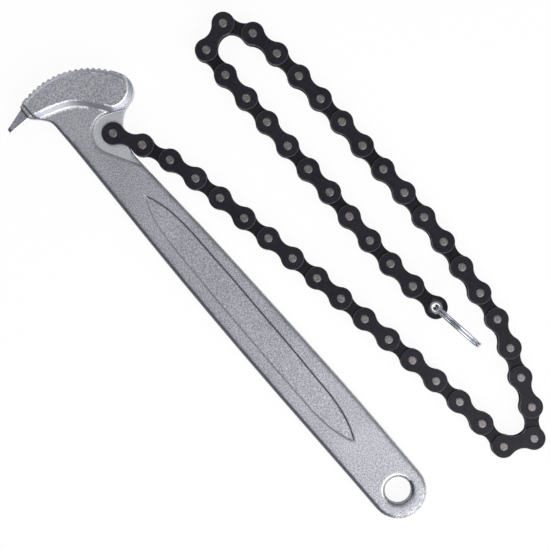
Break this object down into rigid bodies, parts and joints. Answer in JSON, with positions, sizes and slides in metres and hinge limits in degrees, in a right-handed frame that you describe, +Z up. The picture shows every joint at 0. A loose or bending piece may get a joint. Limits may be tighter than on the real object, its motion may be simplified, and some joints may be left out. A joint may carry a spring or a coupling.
{
  "type": "chain oil filter wrench",
  "caption": "Chain oil filter wrench: forged handle with a toothed head and a hooked claw, and a roller chain hinged to the head that ends in a split ring.",
  "frame": {"origin": "centre of the hang hole, in the middle plane of the forging", "axes": "+X along the shank towards the toothed head, +Y towards the claw, +Z up out of the face on show, with the chain laid on the -Y side"},
  "size_m": [0.2428, 0.1105, 0.025],
  "materials": {
    "forged_steel": "blasted satin steel, darker edges",
    "chain_plate": "black oxide, glossy",
    "chain_pin": "grained steel",
    "chain_roller": "smooth steel",
    "ring_wire": "bright zinc"
  },
  "bodies": {
    "handle": {"handle": "forged_steel"},
    "link_01": {"anchor_plate_upper": "chain_plate", "anchor_plate_lower": "chain_plate", "anchor_pin": "chain_pin", "anchor_link_pin": "chain_pin"},
    "link_02": {"inner_link_02": "chain_plate"},
    "link_03": {"outer_link_03": "chain_plate"},
    "link_04": {"inner_link_04": "chain_plate"},
    "link_05": {"outer_link_05": "chain_plate"},
    "link_06": {"inner_link_06": "chain_plate"},
    "link_07": {"outer_link_07": "chain_plate"},
    "link_08": {"inner_link_08": "chain_plate"},
    "link_09": {"outer_link_09": "chain_plate"},
    "link_10": {"inner_link_10": "chain_plate"},
    "link_11": {"outer_link_11": "chain_plate"},
    "link_12": {"inner_link_12": "chain_plate"},
    "link_13": {"outer_link_13": "chain_plate"},
    "link_14": {"inner_link_14": "chain_plate"},
    "link_15": {"outer_link_15": "chain_plate"},
    "link_16": {"inner_link_16": "chain_plate"},
    "link_17": {"outer_link_17": "chain_plate"},
    "link_18": {"inner_link_18": "chain_plate"},
    "link_19": {"outer_link_19": "chain_plate"},
    "link_20": {"inner_link_20": "chain_plate"},
    "link_21": {"outer_link_21": "chain_plate"},
    "link_22": {"inner_link_22": "chain_plate"},
    "link_23": {"outer_link_23": "chain_plate"},
    "link_24": {"inner_link_24": "chain_plate"},
    "link_25": {"outer_link_25": "chain_plate"},
    "link_26": {"inner_link_26": "chain_plate"},
    "link_27": {"outer_link_27": "chain_plate"},
    "link_28": {"inner_link_28": "chain_plate"},
    "link_29": {"outer_link_29": "chain_plate"},
    "link_30": {"inner_link_30": "chain_plate"},
    "link_31": {"outer_link_31": "chain_plate"},
    "link_32": {"inner_link_32": "chain_plate"},
    "link_33": {"outer_link_33": "chain_plate"},
    "link_34": {"inner_link_34": "chain_plate"},
    "link_35": {"outer_link_35": "chain_plate"},
    "link_36": {"inner_link_36": "chain_plate"},
    "link_37": {"outer_link_37": "chain_plate"},
    "link_38": {"inner_link_38": "chain_plate"},
    "link_39": {"outer_link_39": "chain_plate"},
    "link_40": {"inner_link_40": "chain_plate"},
    "link_41": {"outer_link_41": "chain_plate"},
    "link_42": {"inner_link_42": "chain_plate"},
    "link_43": {"outer_link_43": "chain_plate"},
    "link_44": {"inner_link_44": "chain_plate"},
    "link_45": {"outer_link_45": "chain_plate"},
    "link_46": {"end_plate_upper": "chain_plate", "end_plate_lower": "chain_plate", "end_bushing": "chain_roller", "ring_bushing": "chain_roller", "end_roller": "chain_roller", "ring_roller": "chain_roller"},
    "ring": {"split_ring": "ring_wire"}
  },
  "joints": [
    {"name": "anchor_hinge", "type": "hinge", "parent": "handle", "child": "link_01", "pos_m": [0.1845, -0.0057, 0], "axis": [0, 0, -1], "range_deg": [-55, 1]},
    {"name": "hinge_01_02", "type": "hinge", "parent": "link_01", "child": "link_02", "pos_m": [0.17329, -0.01166, 0], "axis": [0, 0, 1], "range_deg": [-7.5, 67]},
    {"name": "hinge_02_03", "type": "hinge", "parent": "link_02", "child": "link_03", "pos_m": [0.16143, -0.01621, 0], "axis": [0, 0, -1], "range_deg": [-42, 8]},
    {"name": "hinge_03_04", "type": "hinge", "parent": "link_03", "child": "link_04", "pos_m": [0.14911, -0.01929, 0], "axis": [0, 0, 1], "range_deg": [-9, 30.5]},
    {"name": "hinge_04_05", "type": "hinge", "parent": "link_04", "child": "link_05", "pos_m": [0.13664, -0.02171, 0], "axis": [0, 0, -1], "range_deg": [-25, 10]},
    {"name": "hinge_05_06", "type": "hinge", "parent": "link_05", "child": "link_06", "pos_m": [0.12411, -0.02381, 0], "axis": [0, 0, 1], "range_deg": [-11, 21]},
    {"name": "hinge_06_07", "type": "hinge", "parent": "link_06", "child": "link_07", "pos_m": [0.11161, -0.02601, 0], "axis": [0, 0, -1], "range_deg": [-18.5, 12]},
    {"name": "hinge_07_08", "type": "hinge", "parent": "link_07", "child": "link_08", "pos_m": [0.0991, -0.02822, 0], "axis": [0, 0, -1], "range_deg": [-16.5, 13.5]},
    {"name": "hinge_08_09", "type": "hinge", "parent": "link_08", "child": "link_09", "pos_m": [0.08661, -0.03053, 0], "axis": [0, 0, -1], "range_deg": [-15, 15.5]},
    {"name": "hinge_09_10", "type": "hinge", "parent": "link_09", "child": "link_10", "pos_m": [0.07407, -0.03252, 0], "axis": [0, 0, 1], "range_deg": [-18, 14]},
    {"name": "hinge_10_11", "type": "hinge", "parent": "link_10", "child": "link_11", "pos_m": [0.06153, -0.0345, 0], "axis": [0, 0, -1], "range_deg": [-13, 21]},
    {"name": "hinge_11_12", "type": "hinge", "parent": "link_11", "child": "link_12", "pos_m": [0.04898, -0.03649, 0], "axis": [0, 0, 1], "range_deg": [-25.5, 12.5]},
    {"name": "hinge_12_13", "type": "hinge", "parent": "link_12", "child": "link_13", "pos_m": [0.03642, -0.03837, 0], "axis": [0, 0, -1], "range_deg": [-11.5, 31.5]},
    {"name": "hinge_13_14", "type": "hinge", "parent": "link_13", "child": "link_14", "pos_m": [0.02386, -0.04024, 0], "axis": [0, 0, 1], "range_deg": [-41.5, 11]},
    {"name": "hinge_14_15", "type": "hinge", "parent": "link_14", "child": "link_15", "pos_m": [0.01129, -0.04201, 0], "axis": [0, 0, -1], "range_deg": [-10, 60]},
    {"name": "hinge_15_16", "type": "hinge", "parent": "link_15", "child": "link_16", "pos_m": [-0.00136, -0.04323, 0], "axis": [0, 0, 1], "range_deg": [-60, 9]},
    {"name": "hinge_16_17", "type": "hinge", "parent": "link_16", "child": "link_17", "pos_m": [-0.01404, -0.04389, 0], "axis": [0, 0, -1], "range_deg": [-8, 60]},
    {"name": "hinge_17_18", "type": "hinge", "parent": "link_17", "child": "link_18", "pos_m": [-0.01951, -0.05536, 0], "axis": [0, 0, 1], "range_deg": [-60, 7.5]},
    {"name": "hinge_18_19", "type": "hinge", "parent": "link_18", "child": "link_19", "pos_m": [-0.00923, -0.06282, 0], "axis": [0, 0, -1], "range_deg": [-8, 60]},
    {"name": "hinge_19_20", "type": "hinge", "parent": "link_19", "child": "link_20", "pos_m": [0.00266, -0.06727, 0], "axis": [0, 0, 1], "range_deg": [-60, 9]},
    {"name": "hinge_20_21", "type": "hinge", "parent": "link_20", "child": "link_21", "pos_m": [0.01456, -0.07172, 0], "axis": [0, 0, -1], "range_deg": [-10, 60]},
    {"name": "hinge_21_22", "type": "hinge", "parent": "link_21", "child": "link_22", "pos_m": [0.02677, -0.07522, 0], "axis": [0, 0, 1], "range_deg": [-60, 11]},
    {"name": "hinge_22_23", "type": "hinge", "parent": "link_22", "child": "link_23", "pos_m": [0.03937, -0.07677, 0], "axis": [0, 0, -1], "range_deg": [-10, 60]},
    {"name": "hinge_23_24", "type": "hinge", "parent": "link_23", "child": "link_24", "pos_m": [0.05201, -0.07798, 0], "axis": [0, 0, 1], "range_deg": [-60, 6]},
    {"name": "hinge_24_25", "type": "hinge", "parent": "link_24", "child": "link_25", "pos_m": [0.06468, -0.07898, 0], "axis": [0, 0, -1], "range_deg": [-4, 23.5]},
    {"name": "hinge_25_26", "type": "hinge", "parent": "link_25", "child": "link_26", "pos_m": [0.07737, -0.07942, 0], "axis": [0, 0, 1], "range_deg": [-16, 3]},
    {"name": "hinge_26_27", "type": "hinge", "parent": "link_26", "child": "link_27", "pos_m": [0.09006, -0.07976, 0], "axis": [0, 0, -1], "range_deg": [-2.5, 12.5]},
    {"name": "hinge_27_28", "type": "hinge", "parent": "link_27", "child": "link_28", "pos_m": [0.10276, -0.07942, 0], "axis": [0, 0, 1], "range_deg": [-10, 2]},
    {"name": "hinge_28_29", "type": "hinge", "parent": "link_28", "child": "link_29", "pos_m": [0.11546, -0.0792, 0], "axis": [0, 0, -1], "range_deg": [-1.5, 8.5]},
    {"name": "hinge_29_30", "type": "hinge", "parent": "link_29", "child": "link_30", "pos_m": [0.12816, -0.07909, 0], "axis": [0, 0, 1], "range_deg": [-7, 1.5]},
    {"name": "hinge_30_31", "type": "hinge", "parent": "link_30", "child": "link_31", "pos_m": [0.14084, -0.07854, 0], "axis": [0, 0, -1], "range_deg": [-1, 6.5]},
    {"name": "hinge_31_32", "type": "hinge", "parent": "link_31", "child": "link_32", "pos_m": [0.15353, -0.07787, 0], "axis": [0, 0, 1], "range_deg": [-6, 1]},
    {"name": "hinge_32_33", "type": "hinge", "parent": "link_32", "child": "link_33", "pos_m": [0.1662, -0.07699, 0], "axis": [0, 0, -1], "range_deg": [-1, 5]},
    {"name": "hinge_33_34", "type": "hinge", "parent": "link_33", "child": "link_34", "pos_m": [0.17872, -0.07489, 0], "axis": [0, 0, 1], "range_deg": [-4.5, 0.5]},
    {"name": "hinge_34_35", "type": "hinge", "parent": "link_34", "child": "link_35", "pos_m": [0.18961, -0.06835, 0], "axis": [0, 0, -1], "range_deg": [-0.5, 4.5]},
    {"name": "hinge_35_36", "type": "hinge", "parent": "link_35", "child": "link_36", "pos_m": [0.18579, -0.05624, 0], "axis": [0, 0, 1], "range_deg": [-4.5, 0.5]},
    {"name": "hinge_36_37", "type": "hinge", "parent": "link_36", "child": "link_37", "pos_m": [0.17311, -0.05557, 0], "axis": [0, 0, -1], "range_deg": [-1, 4.5]},
    {"name": "hinge_37_38", "type": "hinge", "parent": "link_37", "child": "link_38", "pos_m": [0.16041, -0.0559, 0], "axis": [0, 0, 1], "range_deg": [-5.5, 1]},
    {"name": "hinge_38_39", "type": "hinge", "parent": "link_38", "child": "link_39", "pos_m": [0.14771, -0.05601, 0], "axis": [0, 0, -1], "range_deg": [-1, 6]},
    {"name": "hinge_39_40", "type": "hinge", "parent": "link_39", "child": "link_40", "pos_m": [0.13501, -0.05613, 0], "axis": [0, 0, 1], "range_deg": [-6.5, 1.5]},
    {"name": "hinge_40_41", "type": "hinge", "parent": "link_40", "child": "link_41", "pos_m": [0.12231, -0.05635, 0.00014], "axis": [-0.0227, -0.001, -0.9997], "range_deg": [-1.5, 7]},
    {"name": "hinge_41_42", "type": "hinge", "parent": "link_41", "child": "link_42", "pos_m": [0.10963, -0.0569, 0.00043], "axis": [0.0227, 0.001, 0.9997], "range_deg": [-8.5, 2]},
    {"name": "hinge_42_43", "type": "hinge", "parent": "link_42", "child": "link_43", "pos_m": [0.09694, -0.05657, 0.00086], "axis": [-0.0454, 0, -0.999], "range_deg": [-2.5, 10]},
    {"name": "hinge_43_44", "type": "hinge", "parent": "link_43", "child": "link_44", "pos_m": [0.08425, -0.05657, 0.00144], "axis": [0.0454, 0, 0.999], "range_deg": [-12.5, 3]},
    {"name": "hinge_44_45", "type": "hinge", "parent": "link_44", "child": "link_45", "pos_m": [0.07158, -0.05679, 0.00216], "axis": [-0.0678, -0.0053, -0.9977], "range_deg": [-4.5, 15.5]},
    {"name": "hinge_45_46", "type": "hinge", "parent": "link_45", "child": "link_46", "pos_m": [0.05895, -0.05778, 0.00302], "axis": [0.0678, 0.0053, 0.9977], "range_deg": [-21.5, 6]},
    {"name": "ring_hinge", "type": "hinge", "parent": "link_46", "child": "ring", "pos_m": [0.04639, -0.05944, 0.00403], "axis": [-0.0787, -0.0104, -0.9968], "range_deg": [-10, 36]}
  ]
}
